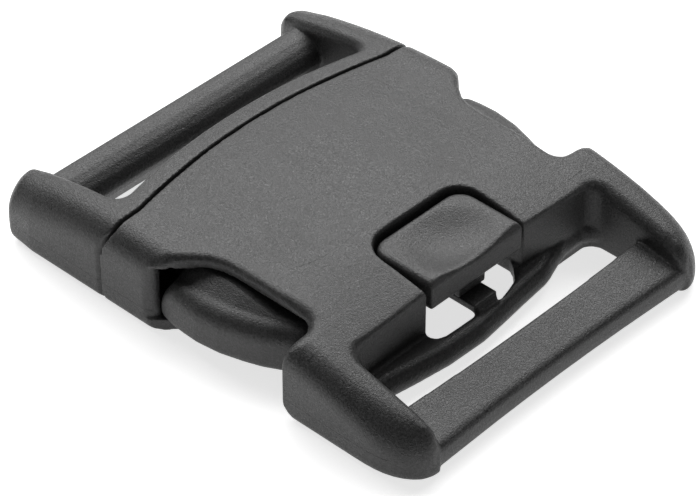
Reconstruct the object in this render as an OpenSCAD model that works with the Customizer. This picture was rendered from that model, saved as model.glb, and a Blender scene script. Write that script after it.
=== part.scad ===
// Side-release buckle with a centre lock button, fastened. Socket half towards +X, plug half towards -X.
// Millimetres, +Z up, underside on z = 0, centred on x = 0 and y = 0.

/* [Body] */
// Height of the crown over the middle of the deck
body_h = 14.5; // [14.2:0.1:15.5]
// Width of the webbing slots between the rails
slot_w = 51.8; // [50.8:0.1:53]
// Width of each rail beside the slots
rail_w = 7.1; // [6.7:0.1:7.8]
// Rounding of the housing's long outer top edges
edge_r = 3.9; // [3.5:0.1:4.5]
// Rounding of the rails' inner top edges
rail_rim = 1.85; // [1.5:0.05:2.6]

/* [Fit] */
// Gap of the seam between the two halves
seam_gap = 0.55; // [0.4:0.05:0.7]
// Half-width of the notch in the deck
notch_half = 10.4; // [10.4:0.1:11]
// Half-width of the lock button
button_half = 9.7; // [9:0.1:9.9]

/* [Lock button] */
// Depth of the thumb dimple
dimple = 1.4; // [0.5:0.1:1.8]

/* [Hidden] */
end_x = 40.5;
plug_end_x = 42.8;
centre_x = (plug_end_x - end_x) / 2;
inner_y = slot_w / 2;
half_y = inner_y + rail_w;
plug_end_r = 2.3;
socket_end_r = 4;
low_end_r = 1.2;
plug_low_end_r = 3.8;
low_r = 1.2;
flare_x = 30;
floor_z = 2;
ceiling_z = body_h - 2.9;
plate_z = 4.7;
tab_top = body_h - 4.8;
turn = 12;
socket_grey = [0.29, 0.29, 0.30];
plug_grey = [0.27, 0.27, 0.28];
button_grey = [0.31, 0.31, 0.32];

// Fall of a straight line of slope s that starts at u0, eased in over w on both sides of it
function bend(u, u0, w, s) =
    u < u0 - w ? 0 : u > u0 + w ? s * (u - u0) : s * pow(u - u0 + w, 2) / (4 * w);

// Fall of a quarter round of radius r, d past its start
function fall(d, r) = d <= 0 ? 0 : r - sqrt(max(0, r * r - d * d));

// 0 below 0 and 1 above 1, eased in between
function ease(t) = let (u = min(1, max(0, t))) u * u * (3 - 2 * u);

// How much the top lies lower towards its sides: nothing at the plug's end, all of it from x = 0 on
function side_drop(x, y) = 1 * ease((abs(y) - 4) / 24) * ease(x / 40 + 1);

// Outer surface of the whole buckle along its length: crown, underside, side and the rounding of its top edge
function top_z(x) = body_h - bend(x, 16, 10, 0.255) - bend(-x, 24, 14, 0.25)
    - fall(x - end_x + socket_end_r, socket_end_r) - fall(-x - plug_end_x + plug_end_r, plug_end_r);
function bottom_z(x) =
    fall(x - end_x + low_end_r, low_end_r) + fall(-x - plug_end_x + plug_low_end_r, plug_low_end_r);
function side_y(x) = x < flare_x
    ? half_y - fall(-x - plug_end_x + 3.8, 3.8)
    : inner_y + 0.4 + (rail_w - 0.4) * sqrt(max(0, 1 - 0.97 * pow((x - flare_x) / (end_x - flare_x), 2.7)));
function edge_round(x) = min(edge_r + 1.6 * (1 - ease(x / 40 + 1)) + 0.15 * max(0, x - 28),
    0.68 * (top_z(x) - side_drop(x, half_y) - bottom_z(x)));

// Height of the outer surface over any point
function skin_z(x, y) = let (r = edge_round(x), flat = side_y(x) - r, d = abs(y) - flat)
    top_z(x) - side_drop(x, min(abs(y), flat)) - fall(min(d, r), r);

// Seam between the halves, seen from above
function seam_x(y) = -22.45 + 0.0045 * y * y;

// Points along a round corner
function corner(cx, cy, r, from, to, n = 6) =
    [for (i = [0 : n]) let (a = from + (to - from) * i / n) [cx + r * cos(a), cy + r * sin(a)]];

// Points in reverse
function turned(p) = [for (i = [len(p) - 1 : -1 : 0]) p[i]];

// Outward directions along a counterclockwise outline
function outward(p) = let (n = len(p))
    [for (i = [0 : n - 1]) let (d = p[(i + 1) % n] - p[(i + n - 1) % n]) [d.y, -d.x] / norm(d)];

// Closed solid through rings of equal length, each end closed from its middle
module skin(rings) {
    n = len(rings[0]);
    m = len(rings);
    function middle(r) = [for (q = r) 1] * r / n;
    sides = [for (j = [0 : m - 2], i = [0 : n - 1]) let (k = (i + 1) % n, a = j * n, b = a + n)
        each [[a + k, a + i, b + k], [a + i, b + i, b + k]]];
    ends = [for (i = [0 : n - 1]) let (k = (i + 1) % n, b = (m - 1) * n)
        each [[m * n, i, k], [m * n + 1, b + k, b + i]]];
    points = concat([for (r = rings) each r], [middle(rings[0]), middle(rings[m - 1])]);
    polyhedron(points, concat(sides, ends));
}

// Outline of the buckle across its width at x
function section(x) =
    let (b = bottom_z(x), w = side_y(x), r = edge_round(x), t = skin_z(x, w - r), low = min(low_r, (t - b) / 4),
        right = concat(
            [for (q = corner(w - low, b + low, low, -90, 0, 3)) [x, q.x, q.y]],
            [for (q = corner(w - r, t - r, r, 0, 90, turn)) [x, q.x, q.y]],
            [for (f = [0.9 : -0.15 : 0.1]) [x, f * (w - r), skin_z(x, f * (w - r))]]))
    concat(right, [for (q = turned(right)) [x, -q.y, q.z]]);

module whole_body() {
    plug_end = [for (a = [0 : 15 : 90]) -plug_end_x + plug_end_r * (1 - cos(a))];
    middle = [for (x = [-36 : 3 : 27]) x];
    socket_end = [for (a = [0 : 9 : 90]) flare_x + (end_x - flare_x) * sin(a)];
    skin([for (x = concat(plug_end, middle, socket_end)) section(x)]);
}

// Opening through the outer surface with a rounded rim; rim gives the rounding at each point of the outline
module rimmed(outline, rim, from_z) {
    // Quarter round of radius 1, then a little past it: out, up
    steps = [
        [0, -1], [0.034, -0.741], [0.134, -0.5], [0.293, -0.293], [0.5, -0.134], [0.741, -0.034],
        [1.03, 0.044]];
    out = outward(outline);
    last = len(outline) - 1;
    function at(i, s) = outline[i] + out[i] * rim[i] * s;
    rounds = [for (s = steps)
        [for (i = [0 : last]) let (q = at(i, s[0])) [q.x, q.y, skin_z(q.x, q.y) + rim[i] * s[1]]]];
    skin(concat(
        [[for (q = outline) [q.x, q.y, from_z]]],
        rounds,
        [[for (i = [0 : last]) let (q = at(i, 1.03)) [q.x, q.y, body_h + 3]]]));
}

// Rim rounding that grows from the cross wall towards the rails
function rail_blend(p, wall_rim) =
    [for (q = p) wall_rim + (rail_rim - wall_rim) * min(1, max(0, (abs(q.y) - inner_y + 3) / 2.6))];

// Outline through the points for y > 0 and their mirror image
function both_sides(p) = concat([for (q = turned(p)) [q.x, -q.y]], p);

// Everything between the socket's rails, past the deck
module socket_gap() {
    outline = both_sides(concat(
        [[22.65, 4], [22.65, 12], [22.65, 18]],
        turned(corner(25.05, inner_y - 2.4, 2.4, 90, 180)),
        [for (x = [28 : 2.5 : 38]) [x, inner_y]],
        [[39.2, inner_y + 0.2], [40.1, inner_y + 0.65], [40.9, inner_y + 1.5], [42, inner_y + 3.2]]));
    rimmed(turned(outline), rail_blend(turned(outline), 0.6), -1);
}

// Everything between the plug's rails, past the flange
module plug_gap() {
    outline = both_sides(concat(
        [for (y = [2 : 4 : 22]) [-26.35 + 0.0052 * y * y, y]],
        corner(-25.9, inner_y - 2.3, 2.3, 0, 90),
        [for (x = [-28 : -2.5 : -38]) [x, inner_y]],
        [[-41.2, inner_y + 0.15], [-42.2, inner_y + 0.65], [-43.1, inner_y + 1.6], [-44, inner_y + 3.1]]));
    rimmed(outline, rail_blend(outline, 0.6), -1);
}

// Front edge of each window, from the deck out to the side wall
function window_front() = [
    [13.2, inner_y], [14.0, inner_y + 0.15], [14.8, inner_y + 0.6], [15.4, inner_y + 1.3],
    [15.6, inner_y + 2.3], [15.65, inner_y + 3.6], [15.6, inner_y + 4.8], [15.55, half_y - 1.2],
    [15.8, half_y - 0.5], [16.5, half_y + 0.6]];

// Window at +Y: the opening in the top, the one in the side and the cut-back lower corner at its front
module window() {
    top_rear = [
        [-11.8, half_y + 0.9], [-10.4, half_y - 0.4], [-9.1, half_y - 1.4], [-7.7, half_y - 2.9],
        [-6.1, half_y - 4.6], [-4.1, inner_y + 1], [-1.8, inner_y + 0.2], [1, inner_y], [5, inner_y],
        [9, inner_y]];
    outer = [[19.5, half_y + 4], [-13.5, half_y + 4]];
    top = concat(top_rear, window_front(), outer);
    side = [for (q = top) min(1, max(0, (half_y + 0.6 - q.y) / 2))];
    front = [for (q = top) min(1, max(0, (q.x - 12) / 3))];
    rimmed(top, [for (i = [0 : len(top) - 1]) 0.3 + side[i] * (0.85 + 1.1 * front[i])], -1);
    translate([0, 0, 2.05]) linear_extrude(ceiling_z - 2.4) polygon(concat(
        [[-12.1, half_y + 2]], turned(corner(-12.2, half_y - 2, 2, 0, 80)),
        [[-10.2, inner_y + 0.5], [2.3, inner_y + 0.5], [2.3, half_y + 2]]));
    translate([0, half_y + 2, 0]) rotate([90, 0, 0]) linear_extrude(rail_w - 0.5)
        polygon([[14.2, -1.4], [20.2, -1.4], [18.5, -0.1], [17.1, 0.9], [16, 2.3], [15.3, 4.2], [14.2, 4.2]]);
}

// Plan of the side of the seam where the plug is, moved back by d
module plug_side(d) {
    seam = [for (y = [2 : 4 : 28]) [seam_x(y) - d, y]];
    right = concat(seam, corner(-21.6, half_y - 2.5, 2.3 - d, 0, 50, 4),
        [[-24.6 - 0.64 * d, half_y + 3 - 0.77 * d], [-end_x - 5, half_y + 3 - 0.77 * d]]);
    polygon(concat(turned(right), [for (q = right) [q.x, -q.y]]));
}

// Cross bar and bottom plate: y, x of the front edge there
cross_front = [
    [-26.2, 25.3], [-20, 26.1], [-16, 26.7], [-10, 27.4], [-3, 27.5], [2, 26.9], [7.3, 26.2], [12.5, 25.6],
    [14, 25.2], [15, 24.8], [17.5, 23.9], [20, 23.2], [23.4, 23.1], [25, 23.9], [26.2, 25.2]];

module cross_slice(row, side) {
    f = row[1];
    s = max(f - 1.7, 22);
    translate([0, row[0], 0]) mirror([0, side, 0]) rotate([90, 0, 0]) linear_extrude(0.05) polygon([
        [8.6, 0.2], [f - 2.4, 0.2], [f - 0.3, 1.4], [f, 2.2], [f - 0.2, 3.1], [(s + f) / 2, 4.3], [s, plate_z],
        [8.6, plate_z]]);
}

module cross_bar() {
    for (i = [1 : len(cross_front) - 1]) hull() {
        cross_slice(cross_front[i - 1], 1);
        cross_slice(cross_front[i], 0);
    }
}

// Bar across the slot, slimmer in the middle by dent on each side of its line at x = waist
module web_bar(profile, waist = 0, dent = 0) {
    skin([for (i = [4 : -1 : -4]) let (y = (inner_y + 1.5) * i / 4, in = dent * max(0, 1 - pow(y / inner_y, 2)))
        [for (p = profile) [p.x - in * sign(p.x - waist), y, p.y]]]);
}

// Hollow for the plug's tongue and arms
module socket_hollow() {
    h = ceiling_z - floor_z;
    translate([-32, 2.2 - half_y, floor_z]) cube([23.9, 2 * half_y - 4.4, h]);
    translate([-10, -15.5, floor_z]) cube([18, 31, h]);
    for (s = [-1, 1]) translate([-10, s * 23 - 5, floor_z]) cube([24.8, 10, h]);
    translate([2, -6.5, plate_z + 2.6]) cube([9, 13, ceiling_z - plate_z - 2.6]);
}

module notch() {
    rear = corner(14, notch_half - 4, 4, 90, 180);
    outline = concat([[24.5, notch_half], [21, notch_half], [17, notch_half]], rear, [[10, 0]],
        [for (q = turned(rear)) [q.x, -q.y]], [[17, -notch_half], [21, -notch_half], [24.5, -notch_half]]);
    rimmed(outline, [for (q = outline) 0.45], plate_z - 0.6);
}

// Opening below the button, behind the cross bar: its lower part is wider than the notch
module under_button() {
    translate([0, 0, -1]) linear_extrude(3.4) polygon([
        [12.2, -12.9], [22.5, -12.9], [24, -11], [24.6, -9.2], [24.6, 3.2], [24, 5.5], [23.4, 7.3],
        [22.8, 9.1], [22.1, 11.1], [21.2, 12.9], [12.2, 12.9]]);
    translate([0, 0, 1]) linear_extrude(6) polygon([
        [12, -10.25], [23.4, -10.25], [24.2, -9.85], [24.65, -8.7], [24.8, -6], [24.9, 3.4], [24.3, 5.6],
        [23.7, 7.4], [22.6, 8.5], [21.5, 9.6], [20.3, 10.3], [12, 10.3]]);
}

// Leaf spring that runs back from the cross bar under the button
module leaf_spring() {
    translate([12.8, -2.4, 4.9]) cube([12, 4.8, 1.3]);
    translate([24.3, -2.1, 3]) cube([1, 4.2, 2.4]);
}

module socket() {
    color(socket_grey) translate([centre_x, 0, 0]) {
        difference() {
            union() {
                difference() {
                    whole_body();
                    translate([0, 0, -1]) linear_extrude(body_h + 3) plug_side(-seam_gap / 2);
                    socket_gap();
                    socket_hollow();
                    notch();
                    for (s = [0, 1]) mirror([0, s, 0]) window();
                }
                cross_bar();
            }
            under_button();
        }
        leaf_spring();
        web_bar([
            [31.4, 1.6], [32.2, 0.6], [38.4, 0.2], [39.6, 0.5], [40.1, 1.3], [40.2, 2.4], [40, 3.6],
            [39.6, 4.2], [38.9, 4.5], [31.9, 5.6], [31.4, 5.4]], 35.8, 0.65);
    }
}

// Press tab: x, y of its outer face there
tab_rows = [
    [-9.7, 31.3], [-9.4, 31.6], [-8.8, 31.9], [-7.9, 32.1], [-6.6, 32.4], [-4.4, 32.6], [-1.5, 32.7],
    [2.5, 32.2], [6.3, 31.1], [9, 30.1], [10.3, 29.4], [11.2, 28.9], [13.2, 27.9], [14.1, 27.1],
    [14.5, 26.2]];

function tab_section(x, y) =
    let (low = 2.35, high = tab_top - fall(-5.6 - x, 4.3), r = min(3, (high - low) / 2),
        crest = min(26.8, y - r - 0.5), rise = (y - r - crest) / 2)
    concat(
        [[x, 22, low]],
        [for (q = corner(y - 1.3, low + 1.3, 1.3, -90, 0, 4)) [x, q.x, q.y]],
        [for (q = corner(y - r, high - r, r, 0, 90, 8)) [x, q.x, q.y]],
        [[x, crest, high + rise], [x, 22, high + rise]]);

module press_tab() {
    skin([for (row = tab_rows) tab_section(row[0], row[1] + half_y - 33)]);
}

// Spring arm: x and y of its middle, half-thickness there
arm_rows = [[-22.6, 21, 1.3], [-15, 21.6, 2], [-9, 22.6, 2.3], [0, 23.4, 2.6], [8, 23.3, 2.2], [13, 23.8, 1.6]];

module arm_slice(row, inset) {
    translate([row[0] - 5 * inset, row[1] - row[2] + inset, 2.6 + inset])
        cube([0.4, 2 * (row[2] - inset), tab_top - 3.1 - 2 * inset]);
}

// Each length of the arm starts a little slimmer inside the one before it
module arm() {
    for (i = [1 : len(arm_rows) - 1]) hull() {
        arm_slice(arm_rows[i - 1], 0.2);
        arm_slice(arm_rows[i], 0);
    }
    press_tab();
}

module plug() {
    color(plug_grey) translate([centre_x, 0, 0]) {
        difference() {
            intersection() {
                whole_body();
                translate([0, 0, -1]) linear_extrude(body_h + 3) plug_side(seam_gap / 2);
            }
            plug_gap();
        }
        web_bar([
            [-39.1, 2.2], [-38.5, 1.2], [-37.7, 0.9], [-35.6, 0.9], [-34.9, 1.7], [-32.9, 4.8], [-32.5, 5.9],
            [-32.7, 6.9], [-33.4, 7.9], [-34.5, 8.7], [-35.9, 9.25], [-37.4, 9.45], [-38.6, 9.35],
            [-39.1, 8.6]]);
        translate([-24.4, -15.1, floor_z + 0.4]) linear_extrude(ceiling_z - floor_z - 0.8)
            polygon([[0, 0], [23, 0], [27.2, 5], [27.2, 25.2], [23, 30.2], [0, 30.2]]);
        for (s = [0, 1]) mirror([0, s, 0]) arm();
    }
}

// Points from a to b in n steps, without b
function between(a, b, n) = [for (i = [0 : n - 1]) a + (b - a) * i / n];

// Outline of the button's pad, drawn in by d
function pad(d) = let (b = button_half - d, front = 23 - d, rear = 10.6 + d, r = 3 - d * 0.6, x = rear + r)
    concat(
        between([front, -b], [front, b], 10),
        between([front, b], [x, b], 5),
        corner(x, b - r, r, 90, 168.75, 7),
        between([rear, b - r], [rear, r - b], 7),
        corner(x, r - b, r, 180, 258.75, 7),
        between([x, -b], [front, -b], 5));

// Depth of the thumb dimple at a point of the pad
function scoop(p) =
    let (e = pow((p.x - 18.2) / 7.6, 2) + pow(p.y / 8.6, 2)) dimple * pow(max(0, 1 - e), 1.5);

// Pad with rounded edges, its front face sloping down
module button_pad() {
    top = body_h - 0.9;
    low = [[0.25, 8.8], [0, 9.1]];
    high = [[0, top - 0.9], [0.12, top - 0.45], [0.45, top - 0.12], [0.9, top]];
    rim = pad(0.9);
    centre = [16.8, 0];
    difference() {
        skin(concat(
            [for (e = low) [for (q = pad(e[0])) [q.x, q.y, e[1]]]],
            [for (e = high) [for (q = pad(e[0])) [q.x, q.y, e[1] - scoop(q)]]],
            [for (s = [0.93 : -0.09 : 0.05]) [for (q = rim) let (p = centre + (q - centre) * s)
                [p.x, p.y, top - scoop(p)]]]));
        translate([22.3, -15, top]) rotate([0, 57, 0]) translate([-1, 0, 0]) cube([6, 30, 4]);
    }
}

// Pad, the stem above the leaf spring and the foot under the deck
module lock_button() {
    color(button_grey) translate([centre_x, 0, 0]) {
        button_pad();
        translate([12.5, -2.8, 6.5]) cube([9.6, 5.6, 3.2]);
        translate([3.5, -6, plate_z + 2.9]) cube([10, 12, 3.6]);
    }
}

socket();
plug();
lock_button();
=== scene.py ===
from math import cos, radians, sin

import bmesh
import bpy
import numpy as np
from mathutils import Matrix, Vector


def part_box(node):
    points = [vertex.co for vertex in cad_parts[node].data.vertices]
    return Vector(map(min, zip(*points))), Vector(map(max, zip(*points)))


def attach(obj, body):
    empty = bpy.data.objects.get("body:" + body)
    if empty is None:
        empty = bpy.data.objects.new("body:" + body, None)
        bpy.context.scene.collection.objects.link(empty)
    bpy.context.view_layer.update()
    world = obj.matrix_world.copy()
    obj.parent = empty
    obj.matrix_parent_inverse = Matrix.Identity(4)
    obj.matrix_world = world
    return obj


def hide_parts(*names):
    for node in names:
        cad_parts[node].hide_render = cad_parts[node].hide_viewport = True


bl_info = {
    "name": "Side-release buckle",
    "version": (1, 0, 0),
    "blender": (4, 5, 0),
    "location": "3D View > Sidebar > Buckle",
    "description": "Finishes the fastened buckle as grained charcoal mouldings in a plain studio",
    "category": "Object",
}

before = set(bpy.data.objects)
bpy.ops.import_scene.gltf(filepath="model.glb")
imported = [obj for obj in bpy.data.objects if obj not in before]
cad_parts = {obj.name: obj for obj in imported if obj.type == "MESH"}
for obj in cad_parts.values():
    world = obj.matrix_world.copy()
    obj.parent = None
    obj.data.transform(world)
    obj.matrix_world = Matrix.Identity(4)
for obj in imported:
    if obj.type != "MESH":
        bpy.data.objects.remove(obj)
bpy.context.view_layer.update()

MM = 0.001

# Lines that the mould's parts leave, in metres of the shared frame. A pair says where a ramp starts and ends.
LINE_HALF_WIDTH = 0.11 * MM
STEP_HALF_WIDTH = 0.12 * MM
WALL_LINE_Z = 3.3 * MM
OUTER_WALL_Y = (32.0 * MM, 32.4 * MM)
# The step across the deck behind the button, which bends back past REAR_BEND_Y
REAR_STEP_X = 9.05 * MM
REAR_BEND_Y = 14 * MM
REAR_BEND = 39.0
REAR_END_Y = (20.6 * MM, 20.0 * MM)
REAR_DECK_Z = (12.0 * MM, 12.5 * MM)
REAR_HEIGHT = 0.6
# The step near the deck's front: on the far side from the notch on, on the near side over the rail alone
FRONT_STEP_X = 22.1 * MM
FRONT_LEAN_Y = 10 * MM
FRONT_LEAN = 0.05
FRONT_FAR_Y = (10.9 * MM, 11.3 * MM)
FRONT_NEAR_Y = (-28.0 * MM, -28.6 * MM)
FRONT_DECK_Z = (10.0 * MM, 10.5 * MM)
FRONT_HEIGHT = 0.5

# The plastic's patterns: their sizes, their tones as shares of the plain tone, and what they do to its sheen
CLOUD_SIZE = 9 * MM
SCUFF_SIZE = 1.4 * MM
SPECK_SIZE = 0.34 * MM
FINE_SIZE_SHARE = 0.45
FINE_DEPTH_SHARE = 0.8
CLOUD_TONES = (0.93, 1.07)
GRAIN_TONE = 2.4
RUBBED_TONE = 3.2
SPECK_GREY = 0.35
CLOUD_SHEEN = 0.10
RUBBED_SHEEN = 0.08
PLASTIC_IOR = 1.5

# How far a point stands out, in mesh steps, times this, gives its wear from 0 to 1
WEAR_GAIN = 6
WEAR_PASSES = 3

# Studio: the floor lies just below the buckle, and the softbox hangs behind it
FLOOR_HALF_WIDTH = 1.5
FLOOR_DROP = 0.05 * MM
PAPER_PATCH = 0.2
SOFTBOX_REACH, SOFTBOX_HEIGHT = 0.40, 0.42
SOFTBOX_SIZE = (0.9, 0.42)
CAMERA_TARGET = (3.65 * MM, -4.806 * MM, 6.0 * MM)
SENSOR_WIDTH = 36
CAMERA_CLIP = (0.01, 10)


class Wire:
    """An output socket of a material's nodes that takes part in arithmetic."""

    def __init__(self, graph, socket):
        self.graph = graph
        self.socket = socket

    def math(self, operation, *others):
        return self.graph.node(
            "ShaderNodeMath", {"operation": operation}, dict(enumerate((self, *others)))
        )

    def __add__(self, other):
        return self.math("ADD", other)

    def __sub__(self, other):
        return self.math("SUBTRACT", other)

    def __mul__(self, other):
        return self.math("MULTIPLY", other)

    def __rsub__(self, other):
        return self.graph.node("ShaderNodeMath", {"operation": "SUBTRACT"}, {0: other, 1: self})

    __radd__ = __add__
    __rmul__ = __mul__

    def ramp(self, low, high):
        """0 below low and 1 above high, or the other way round when low is the larger."""
        return self.graph.node(
            "ShaderNodeMapRange",
            {"interpolation_type": "SMOOTHSTEP"},
            {"Value": self, "From Min": low, "From Max": high},
        )


class Graph:
    """The nodes of one material, around its Principled shader."""

    def __init__(self, name):
        self.material = bpy.data.materials.new(name)
        self.material.use_nodes = True
        self.nodes = self.material.node_tree.nodes
        self.links = self.material.node_tree.links
        self.shader = self.nodes["Principled BSDF"]

    def put(self, target, value):
        if isinstance(value, Wire):
            self.links.new(value.socket, target)
        else:
            target.default_value = value

    def node(self, kind, settings=None, inputs=None, output=0):
        made = self.nodes.new(kind)
        for name, value in (settings or {}).items():
            setattr(made, name, value)
        for key, value in (inputs or {}).items():
            self.put(made.inputs[key], value)
        return Wire(self, made.outputs[output])

    def noise(self, where, size, detail, roughness):
        """Noise whose features are about size metres across."""
        inputs = {"Vector": where, "Scale": 1 / size, "Detail": detail, "Roughness": roughness}
        return self.node("ShaderNodeTexNoise", {}, inputs, "Fac")

    def blend(self, share, low, high):
        inputs = {"Factor": share, "A": low, "B": high}
        return self.node("ShaderNodeMix", {"data_type": "RGBA"}, inputs, "Result")


def grey(value, warmth=0.0):
    return (value * (1 + warmth), value, value * (1 - warmth), 1.0)


def witness_lines(name, x, y, z):
    """Height, from 0 to 1, of the fine lines and steps that the mould's parts leave on a piece."""
    side = y.math("ABSOLUTE")
    wall = (z - WALL_LINE_Z).math("ABSOLUTE").ramp(LINE_HALF_WIDTH, 0.0) * side.ramp(*OUTER_WALL_Y)
    if name != "socket":
        return wall
    back = (side - REAR_BEND_Y).math("MAXIMUM", 0.0).math("POWER", 2.0) * REAR_BEND
    rear = (x + back - REAR_STEP_X).ramp(STEP_HALF_WIDTH, -STEP_HALF_WIDTH)
    rear = rear * side.ramp(*REAR_END_Y) * z.ramp(*REAR_DECK_Z)
    lean = (side - FRONT_LEAN_Y) * FRONT_LEAN
    front = (x + lean - FRONT_STEP_X).ramp(STEP_HALF_WIDTH, -STEP_HALF_WIDTH)
    front = front * (y.ramp(*FRONT_FAR_Y) + y.ramp(*FRONT_NEAR_Y)) * z.ramp(*FRONT_DECK_Z)
    return wall + rear * REAR_HEIGHT + front * FRONT_HEIGHT


def moulded_plastic(name, look):
    """Charcoal plastic with a spark-eroded grain, rubbed a little paler along its edges."""
    g = Graph(f"{name}_plastic")
    where = g.node("ShaderNodeTexCoord", output="Object")
    split = g.node("ShaderNodeSeparateXYZ", {}, {0: where}).socket.node
    x, y, z = (Wire(g, split.outputs[i]) for i in range(3))
    wear = g.node("ShaderNodeAttribute", {"attribute_name": "wear"}, output="Fac")
    grain = g.noise(where, look.grain_size, detail=2.0, roughness=0.6)
    fine = g.noise(where, look.grain_size * FINE_SIZE_SHARE, detail=1.0, roughness=0.5)
    cloud = g.noise(where, CLOUD_SIZE, detail=3.0, roughness=0.55)
    scuff = g.noise(where, SCUFF_SIZE, detail=4.0, roughness=0.7)
    speck = g.noise(where, SPECK_SIZE, detail=0.0, roughness=0.5).ramp(0.86, 0.89)

    dark, pale = (look.tone * share for share in CLOUD_TONES)
    tone = g.blend(cloud.ramp(0.3, 0.7), grey(dark, -0.01), grey(pale, 0.01))
    tone = g.blend((grain * 0.6 + fine * 0.4).ramp(0.4, 0.66), tone, grey(look.tone * GRAIN_TONE))
    edge = wear.ramp(0.12, 0.6) * scuff.ramp(0.25, 0.6)
    tone = g.blend(edge * look.edge_wear, tone, grey(look.tone * RUBBED_TONE))
    tone = g.blend(speck * 0.3, tone, grey(SPECK_GREY))
    g.put(g.shader.inputs["Base Color"], tone)

    rough = look.roughness + (cloud - 0.5) * CLOUD_SHEEN + (fine - 0.5) * look.sparkle - edge * RUBBED_SHEEN
    g.put(g.shader.inputs["Roughness"], rough)
    g.put(g.shader.inputs["IOR"], PLASTIC_IOR)
    height = (grain + fine * FINE_DEPTH_SHARE) * look.grain_depth
    height = height + witness_lines(name, x, y, z) * look.line_depth
    bump = g.node("ShaderNodeBump", {}, {"Strength": 1.0, "Distance": 1.0, "Height": height}, "Normal")
    g.put(g.shader.inputs["Normal"], bump)
    return g.material


def merged_copy(name):
    """A copy of a CAD node's mesh with its corners joined, as one closed surface."""
    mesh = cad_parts[name].data.copy()
    mesh.materials.clear()
    bm = bmesh.new()
    bm.from_mesh(mesh)
    bmesh.ops.remove_doubles(bm, verts=bm.verts, dist=1e-6)
    bmesh.ops.recalc_face_normals(bm, faces=bm.faces)
    bm.to_mesh(mesh)
    bm.free()
    piece = bpy.data.objects.new(f"{name}_moulding", mesh)
    bpy.context.scene.collection.objects.link(piece)
    return piece


def settle(piece, low, high):
    """Makes a piece's modifiers part of its mesh, held within the box from low to high."""
    graph = bpy.context.evaluated_depsgraph_get()
    mesh = bpy.data.meshes.new_from_object(piece.evaluated_get(graph))
    piece.modifiers.clear()
    piece.data = mesh
    mesh.shade_smooth()
    points = np.empty(len(mesh.vertices) * 3)
    mesh.vertices.foreach_get("co", points)
    inside = np.clip(points.reshape(-1, 3), low, high)
    mesh.vertices.foreach_set("co", inside.ravel())
    mesh.update()


def mark_wear(mesh):
    """Stores how far each point stands out from those round it as the attribute wear.

    It is 0 on flat and hollow places.
    """
    count = len(mesh.vertices)
    points = np.empty(count * 3)
    mesh.vertices.foreach_get("co", points)
    points = points.reshape(-1, 3)
    normals = np.empty(count * 3)
    mesh.vertices.foreach_get("normal", normals)
    normals = normals.reshape(-1, 3)
    ends = np.empty(len(mesh.edges) * 2, dtype=np.int64)
    mesh.edges.foreach_get("vertices", ends)
    a, b = ends.reshape(-1, 2).T
    valence = np.bincount(ends, minlength=count).astype(float)

    def around(values):
        total = np.bincount(a, values[b], minlength=count)
        total = total + np.bincount(b, values[a], minlength=count)
        return total / np.maximum(valence, 1)

    mean = np.stack([around(points[:, i]) for i in range(3)], axis=1)
    step = np.linalg.norm(points[a] - points[b], axis=1).mean()
    stand = ((points - mean) * normals).sum(axis=1) / step
    for _ in range(WEAR_PASSES):
        stand = 0.5 * stand + 0.5 * around(stand)
    wear = mesh.attributes.new("wear", "FLOAT", "POINT")
    wear.data.foreach_set("value", np.clip(stand * WEAR_GAIN, 0, 1).astype(np.float32))


def moulding(name, shape, look):
    """Makes a CAD node's finished piece: an even surface whose edges are soft, as a mould leaves them."""
    piece = merged_copy(name)
    low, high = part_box(name)
    remesh = piece.modifiers.new("even", "REMESH")
    remesh.mode = "VOXEL"
    remesh.voxel_size = shape.voxel
    soften = piece.modifiers.new("soften", "SMOOTH")
    soften.factor = 0.5
    soften.iterations = shape.smoothing
    settle(piece, low, high)
    mark_wear(piece.data)
    thin = piece.modifiers.new("thin", "DECIMATE")
    thin.ratio = min(1.0, shape.faces / (2 * len(piece.data.polygons)))
    thin.use_collapse_triangulate = True
    settle(piece, low, high)
    piece.data.materials.append(moulded_plastic(name, look))
    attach(piece, "root")
    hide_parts(name)


class BuckleShape(bpy.types.PropertyGroup):
    voxel: bpy.props.FloatProperty(
        name="Mesh size",
        description="Spacing of the even meshes",
        default=0.2 * MM,
        min=0.1 * MM,
        unit="LENGTH",
        precision=5,
    )
    smoothing: bpy.props.IntProperty(
        name="Softening", description="Passes that round the edges", default=12, min=0
    )
    faces: bpy.props.IntProperty(
        name="Faces", description="Most triangles in a finished piece", default=190000, min=1
    )


class BuckleLook(bpy.types.PropertyGroup):
    tone: bpy.props.FloatProperty(
        name="Tone", description="Grey of the plastic", default=0.022, min=0, max=1
    )
    roughness: bpy.props.FloatProperty(
        name="Roughness", description="Sheen of the grain", default=0.46, min=0, max=1
    )
    grain_size: bpy.props.FloatProperty(
        name="Grain",
        description="Size of the moulded grain",
        default=0.36 * MM,
        unit="LENGTH",
        precision=5,
    )
    grain_depth: bpy.props.FloatProperty(
        name="Grain depth",
        description="Depth of the moulded grain",
        default=0.065 * MM,
        unit="LENGTH",
        precision=6,
    )
    sparkle: bpy.props.FloatProperty(
        name="Sparkle",
        description="How much the sheen changes from grain to grain",
        default=1.1,
        min=0,
        max=2,
    )
    line_depth: bpy.props.FloatProperty(
        name="Line depth",
        description="Height of the mould's lines",
        default=0.05 * MM,
        unit="LENGTH",
        precision=6,
    )
    edge_wear: bpy.props.FloatProperty(
        name="Edge wear", description="Rubbing on edges", default=0.35, min=0, max=1
    )


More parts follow.
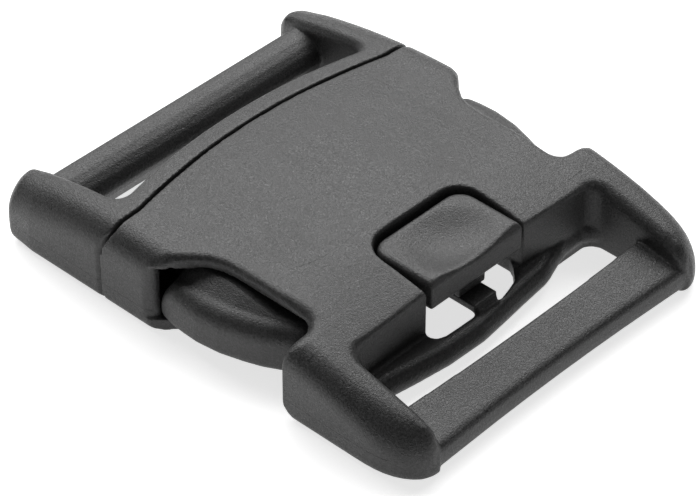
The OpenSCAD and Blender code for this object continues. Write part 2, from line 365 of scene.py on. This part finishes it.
class BuckleStage(bpy.types.PropertyGroup):
    azimuth: bpy.props.FloatProperty(
        name="Azimuth",
        description="Camera's turn about the buckle",
        default=radians(43.368),
        subtype="ANGLE",
    )
    elevation: bpy.props.FloatProperty(
        name="Elevation",
        description="Camera's angle above the floor",
        default=radians(39.208),
        subtype="ANGLE",
    )
    distance: bpy.props.FloatProperty(
        name="Distance", description="From the camera to its target", default=0.49808, unit="LENGTH"
    )
    lens: bpy.props.FloatProperty(name="Lens", description="Focal length in millimetres", default=175.7)
    softbox: bpy.props.FloatProperty(
        name="Softbox", description="Power of the light", default=5.4, unit="POWER"
    )
    turn: bpy.props.FloatProperty(
        name="Light's turn",
        description="From straight behind the buckle towards the photo's left",
        default=radians(6),
        subtype="ANGLE",
    )
    surround: bpy.props.FloatProperty(
        name="Surround", description="Strength of the room's light", default=0.1, min=0
    )
    glow: bpy.props.FloatProperty(
        name="Table glow", description="Light that the table gives off", default=0.7, min=0
    )


class PieceOperator:
    bl_options = {"REGISTER", "UNDO"}
    node = ""

    def execute(self, context):
        moulding(self.node, context.scene.buckle_shape, context.scene.buckle_look)
        return {"FINISHED"}


class BUCKLE_OT_socket(PieceOperator, bpy.types.Operator):
    """Finish the socket half"""

    bl_idname = "buckle.socket"
    bl_label = "Socket half"
    node = "socket"


class BUCKLE_OT_plug(PieceOperator, bpy.types.Operator):
    """Finish the plug half"""

    bl_idname = "buckle.plug"
    bl_label = "Plug half"
    node = "plug"


class BUCKLE_OT_lock_button(PieceOperator, bpy.types.Operator):
    """Finish the lock button"""

    bl_idname = "buckle.lock_button"
    bl_label = "Lock button"
    node = "lock_button"


def pale_floor(glow):
    """Pale paper that gives off a soft light of its own."""
    bm = bmesh.new()
    bmesh.ops.create_grid(bm, x_segments=8, y_segments=8, size=FLOOR_HALF_WIDTH)
    mesh = bpy.data.meshes.new("floor")
    bm.to_mesh(mesh)
    bm.free()
    floor = bpy.data.objects.new("floor", mesh)
    floor.location.z = -FLOOR_DROP
    bpy.context.scene.collection.objects.link(floor)
    g = Graph("floor_paper")
    where = g.node("ShaderNodeTexCoord", output="Object")
    patch = g.noise(where, PAPER_PATCH, detail=2.0, roughness=0.5)
    g.put(g.shader.inputs["Base Color"], g.blend(patch, grey(0.86), grey(0.88)))
    g.put(g.shader.inputs["Roughness"], 0.9)
    g.put(g.shader.inputs["Specular IOR Level"], 0.1)
    g.put(g.shader.inputs["Emission Color"], grey(1.0))
    g.put(g.shader.inputs["Emission Strength"], glow)
    mesh.materials.append(g.material)


def softbox(bearing, power):
    """A wide soft light that faces the buckle from above, at a bearing counted from +X."""
    light = bpy.data.lights.new("softbox", "AREA")
    light.shape = "RECTANGLE"
    light.size, light.size_y = SOFTBOX_SIZE
    light.energy = power
    lamp = bpy.data.objects.new("softbox", light)
    lamp.location = (cos(bearing) * SOFTBOX_REACH, sin(bearing) * SOFTBOX_REACH, SOFTBOX_HEIGHT)
    lamp.rotation_euler = (-lamp.location).to_track_quat("-Z", "Y").to_euler()
    bpy.context.scene.collection.objects.link(lamp)


def room(strength):
    """A dim, even room round the lit table."""
    world = bpy.data.worlds.new("room")
    world.use_nodes = True
    back = world.node_tree.nodes["Background"]
    back.inputs["Color"].default_value = grey(1.0)
    back.inputs["Strength"].default_value = strength
    bpy.context.scene.world = world


def photo_camera(stage):
    """The camera that sees the buckle from the photo's angle."""
    a, e = stage.azimuth, stage.elevation
    back = Vector((sin(a) * cos(e), -cos(a) * cos(e), sin(e)))
    lens = bpy.data.cameras.new("camera")
    lens.sensor_width = SENSOR_WIDTH
    lens.lens = stage.lens
    lens.clip_start, lens.clip_end = CAMERA_CLIP
    camera = bpy.data.objects.new("camera", lens)
    camera.location = Vector(CAMERA_TARGET) + back * stage.distance
    camera.rotation_euler = back.to_track_quat("Z", "Y").to_euler()
    bpy.context.scene.collection.objects.link(camera)
    bpy.context.scene.camera = camera


class BUCKLE_OT_stage(bpy.types.Operator):
    """Set the floor, the light and the camera"""

    bl_idname = "buckle.stage"
    bl_label = "Studio"
    bl_options = {"REGISTER", "UNDO"}

    def execute(self, context):
        stage = context.scene.buckle_stage
        pale_floor(stage.glow)
        room(stage.surround)
        softbox(stage.azimuth + radians(90) + stage.turn, stage.softbox)
        photo_camera(stage)
        context.scene.view_settings.view_transform = "Standard"
        return {"FINISHED"}


class BUCKLE_PT_panel(bpy.types.Panel):
    """The buckle's steps and settings"""

    bl_idname = "BUCKLE_PT_panel"
    bl_label = "Buckle"
    bl_space_type = "VIEW_3D"
    bl_region_type = "UI"
    bl_category = "Buckle"

    def draw(self, context):
        column = self.layout.column()
        for group in (context.scene.buckle_shape, context.scene.buckle_look, context.scene.buckle_stage):
            for name in group.__annotations__:
                column.prop(group, name)
        for operator in STEPS:
            column.operator(operator.bl_idname)


GROUPS = {"buckle_shape": BuckleShape, "buckle_look": BuckleLook, "buckle_stage": BuckleStage}
STEPS = (BUCKLE_OT_socket, BUCKLE_OT_plug, BUCKLE_OT_lock_button, BUCKLE_OT_stage)
CLASSES = (*GROUPS.values(), *STEPS, BUCKLE_PT_panel)


def register():
    for cls in CLASSES:
        bpy.utils.register_class(cls)
    for name, group in GROUPS.items():
        setattr(bpy.types.Scene, name, bpy.props.PointerProperty(type=group))


def unregister():
    for name in GROUPS:
        delattr(bpy.types.Scene, name)
    for cls in reversed(CLASSES):
        bpy.utils.unregister_class(cls)


def main():
    register()
    bpy.ops.buckle.socket()
    bpy.ops.buckle.plug()
    bpy.ops.buckle.lock_button()
    bpy.ops.buckle.stage()


if __name__ == "__main__":
    main()
